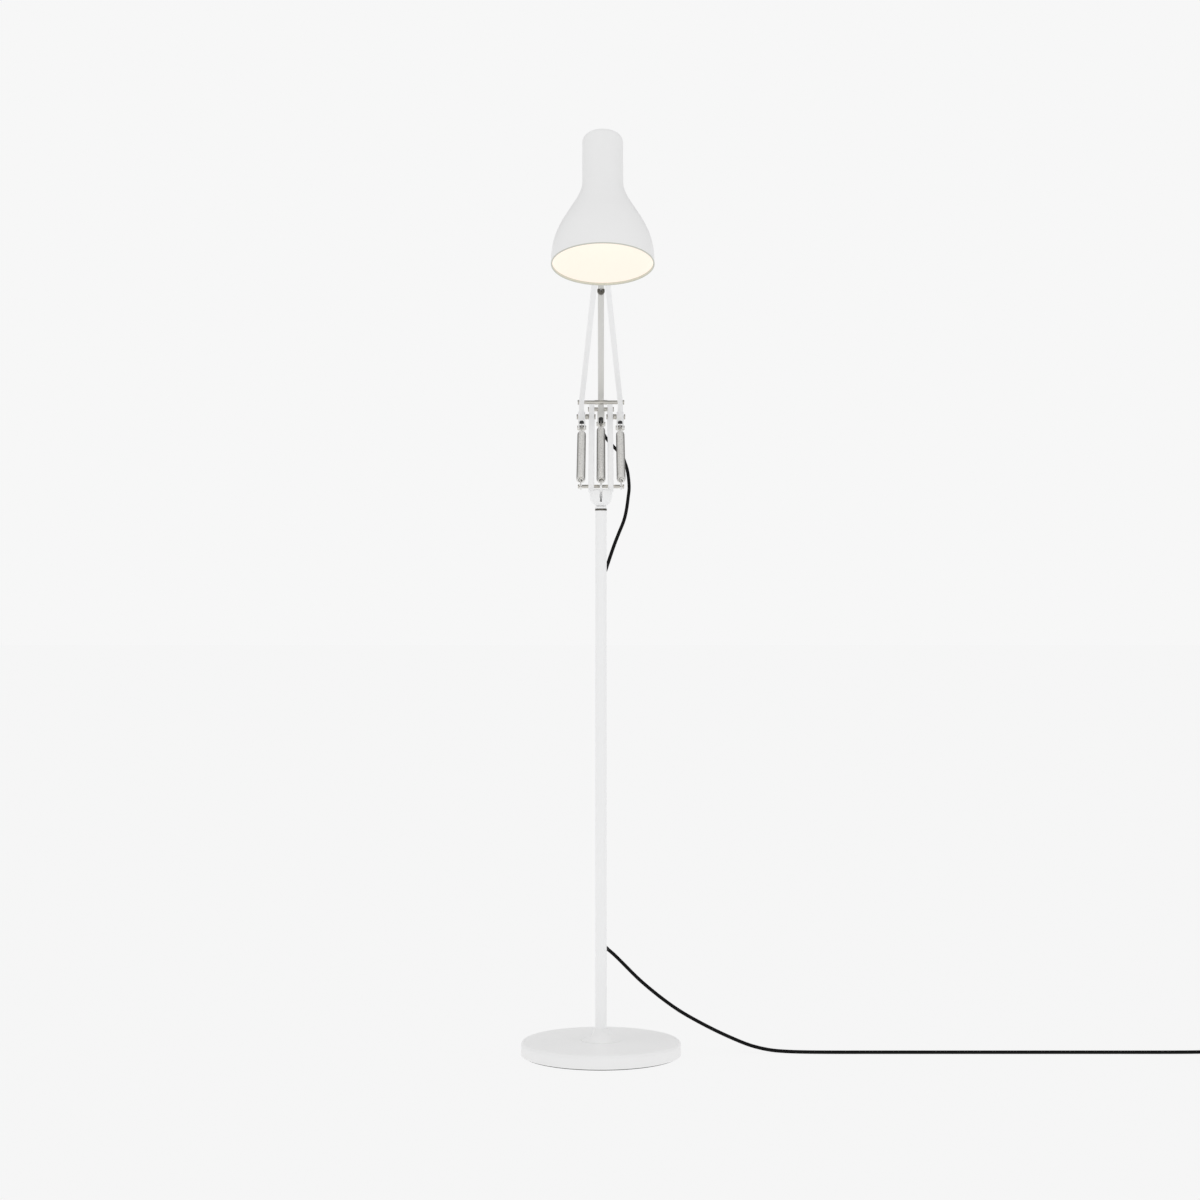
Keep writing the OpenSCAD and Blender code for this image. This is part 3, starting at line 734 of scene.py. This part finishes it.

# %% [markdown]
# Here is the whole palette. The record names a finish for every hard part, and the stem, the
# knuckle and the long bars then take a slightly glossier white whose lighter tone is painted light.

# %% The palette
white = painted("white powder coat", (0.885, 0.885, 0.885))
# A glossier copy of the white powder coat, its tone painted lighter as painted light.
painted_lit_white = painted("white gloss coat painted lighter", (0.91, 0.912, 0.915), (0.3, 0.4), 0.08)
finishes = {
    "white_paint": white,
    "warm_metal": painted("satin anodised bar", (0.73, 0.725, 0.70), (0.3, 0.42), 0.06),
    "nickel": metal("bright nickel", (0.70, 0.68, 0.63), (0.12, 0.24), (0.08, 1, 1)),
    "spring_steel": wire_finish(),
    "dark_metal": metal("dark nickel", (0.16, 0.15, 0.13), (0.3, 0.45)),
    "iron": metal("cast iron", (0.12, 0.12, 0.12), (0.6, 0.8), brush_scale=250, depth=0.6),
    "black_plastic": moulded("black nylon", (0.010, 0.010, 0.010)),
    "cord_black": woven_cord(),
    "pad_rubber": moulded("base pad felt", (0.03, 0.03, 0.03), (0.8, 0.95), 400),
    "holder_white": moulded("lamp holder", (0.78, 0.77, 0.73), (0.35, 0.5), 500),
    "bulb": glowing("opal bulb", (0.9, 0.88, 0.8), (1.0, 0.93, 0.78), 1.6, 0.97),
    "brass": metal("brass", (0.78, 0.60, 0.30), (0.25, 0.4)),
}


print(len(finishes), "finishes")


def paint(piece, material):
    """Gives a piece one material in every slot."""
    piece.data.materials.clear()
    piece.data.materials.append(material)


# %% [markdown]
# Painting is a matter of going through the pieces once, and the pieces that were added in this
# lesson come after the record's own.

# %% Painting the pieces
# These parts get the copy of the white that is painted lighter, as painted light.
PAINTED_LIT_PARTS = ("stem_tube", "knuckle_spigot", "knuckle_left", "knuckle_right", "arm_foot",
          "lower_bar_left", "lower_bar_right", "outer_bar_left", "outer_bar_right")
for piece in (relief_piece, plug_piece):
    paint(piece, finishes["black_plastic"])
for entry in frame["record"]["subparts"]:
    paint(nodes[entry["node"]], finishes[entry["material_slot"]])
for name in PAINTED_LIT_PARTS:
    paint(nodes[name], painted_lit_white)
for piece in cords:
    paint(piece, finishes["cord_black"])
for piece in spring_pieces:
    paint(piece, finishes["spring_steel"])
paint(shade_outside, white)
# The rim's grey is painted shade on the rolled edge, and the inside's glow is painted light from the lamp.
paint(shade_rim, painted("rim painted shade", (0.59, 0.60, 0.53)))
paint(shade_inside,
      glowing("lit shade inside", (0.35, 0.335, 0.32), (0.91, 0.795, 0.70), 0.745, 0.97))

# %% [markdown]
# ## Softened edges
# Bars, blocks and turned parts all have a small radius where two faces meet, and it is the radius
# that catches the light. Corners that the frame keeps apart are joined first, so that the rounding
# can run round them.

# %% Rounded edges
SOFTEN = {
    1.1: ["lower_bar_left", "lower_bar_right", "outer_bar_left", "outer_bar_right", "centre_bar",
          "head_link"],
    0.7: ["shade_boss", "cord_tie", "switch_button", "arm_foot", "knuckle_left", "knuckle_right"],
    0.4: ["spring_rod", "elbow_pins", "centre_pin", "head_pins", "shade_hinge_pin", "knuckle_pin",
          "outer_spring_pins", "centre_spring_pin", "bar_collar", "elbow_spacers", "arm_crossbar",
          "cord_grommets"],
}


def soften(piece, width):
    """Joins doubled corners, then rounds each edge that is sharper than 35 degrees."""
    weld = piece.modifiers.new("weld", "WELD")
    weld.merge_threshold = 1e-6
    bevel = piece.modifiers.new("rounded edges", "BEVEL")
    bevel.width = width
    bevel.segments = 3
    bevel.limit_method = "ANGLE"
    bevel.angle_limit = math.radians(35)
    bevel.harden_normals = True


for width, names in SOFTEN.items():
    for name in names:
        soften(nodes[name], width * MM)
print(sum(map(len, SOFTEN.values())), "pieces have rounded edges")

# %% [markdown]
# ## Stage and light
# The lamp stands in a light tent: a pale floor that runs into a pale background, and a broad soft
# light from each side. What shiny parts mirror is darker to the sides, past the edge of the tent.

# %% Background and reflections
BACKDROP = (0.930, 0.930, 0.930)
scene = bpy.context.scene
scene.view_settings.view_transform = "Standard"
world = bpy.data.worlds.new("light tent")
world.use_nodes = True
world.node_tree.nodes["Background"].inputs["Color"].default_value = (*BACKDROP, 1)
world.node_tree.nodes["Background"].inputs["Strength"].default_value = 1.0
scene.world = world


def darker_reflections(tree):
    """What a shiny surface mirrors: white, but dark to the far sides and in one band overhead."""
    place = tree.nodes.new("ShaderNodeTexCoord")
    split = tree.nodes.new("ShaderNodeSeparateXYZ")
    tree.links.new(place.outputs["Generated"], split.inputs[0])
    side = tree.nodes.new("ShaderNodeMath")
    side.operation = "ABSOLUTE"
    tree.links.new(split.outputs["X"], side.inputs[0])
    cards = tree.nodes.new("ShaderNodeMath")
    cards.operation = "MULTIPLY"
    sides = ramp(tree, side.outputs[0], (1, 1, 1), (0.3, 0.3, 0.3), 0.6, 0.85)
    tree.links.new(sides, cards.inputs[0])
    band = ramp(tree, split.outputs["Z"], (1, 1, 1), (0.4, 0.4, 0.4), 0.18, 0.28)
    tree.links.new(band, cards.inputs[1])
    path = tree.nodes.new("ShaderNodeLightPath")
    choice = tree.nodes.new("ShaderNodeMix")
    tree.links.new(path.outputs["Is Glossy Ray"], choice.inputs[0])
    choice.inputs[2].default_value = 1.0
    tree.links.new(cards.outputs[0], choice.inputs[3])
    tree.links.new(choice.outputs[0], tree.nodes["Background"].inputs["Strength"])


darker_reflections(world.node_tree)
print("background", BACKDROP)

# %% [markdown]
# The floor glows as strongly as the background, so that its far edge can't be told from it. Only
# the lamp's own shadow is left to show where it is.

# %% The floor
FLOOR_HALF = 30.0
corners = [(-FLOOR_HALF, -FLOOR_HALF, 0), (FLOOR_HALF, -FLOOR_HALF, 0),
           (FLOOR_HALF, FLOOR_HALF, 0), (-FLOOR_HALF, FLOOR_HALF, 0)]
floor = make_piece("floor", corners, [(0, 1, 2, 3)])
floor_material, _, floor_shader = new_material("floor", Roughness=1.0)
floor_shader.inputs["Base Color"].default_value = (0.06, 0.06, 0.06, 1)
floor_shader.inputs["Specular IOR Level"].default_value = 0.0
floor_shader.inputs["Emission Color"].default_value = (*BACKDROP, 1)
floor_shader.inputs["Emission Strength"].default_value = 0.93
paint(floor, floor_material)
print("floor", 2 * FLOOR_HALF, "m across")

# %% [markdown]
# The two lights are squares more than a metre across, so their shadows are soft. The key comes from
# high on the right and the weaker fill from the left.

# %% The lights
def soft_light(name, place, aim, size, power):
    """A square area light at place that faces aim."""
    data = bpy.data.lights.new(name, "AREA")
    data.size = size
    data.energy = power
    lamp = bpy.data.objects.new(name, data)
    lamp.location = place
    x, y, z = np.array(aim, float) - np.array(place, float)
    lamp.rotation_euler = (math.atan2(math.hypot(x, y), -z), 0, math.atan2(x, -y))
    scene.collection.objects.link(lamp)


LAMP_MIDDLE = (0, 0, 0.8)
LIGHT_SIZE = 1.6
soft_light("key", (1.6, -2.6, 2.4), LAMP_MIDDLE, LIGHT_SIZE, 12)
soft_light("fill", (-2.4, -1.8, 1.4), LAMP_MIDDLE, LIGHT_SIZE, 4)
print("lights ready")

# %% [markdown]
# The lamp's size was settled before this lesson began.

# %% Sizes
bpy.context.view_layer.update()
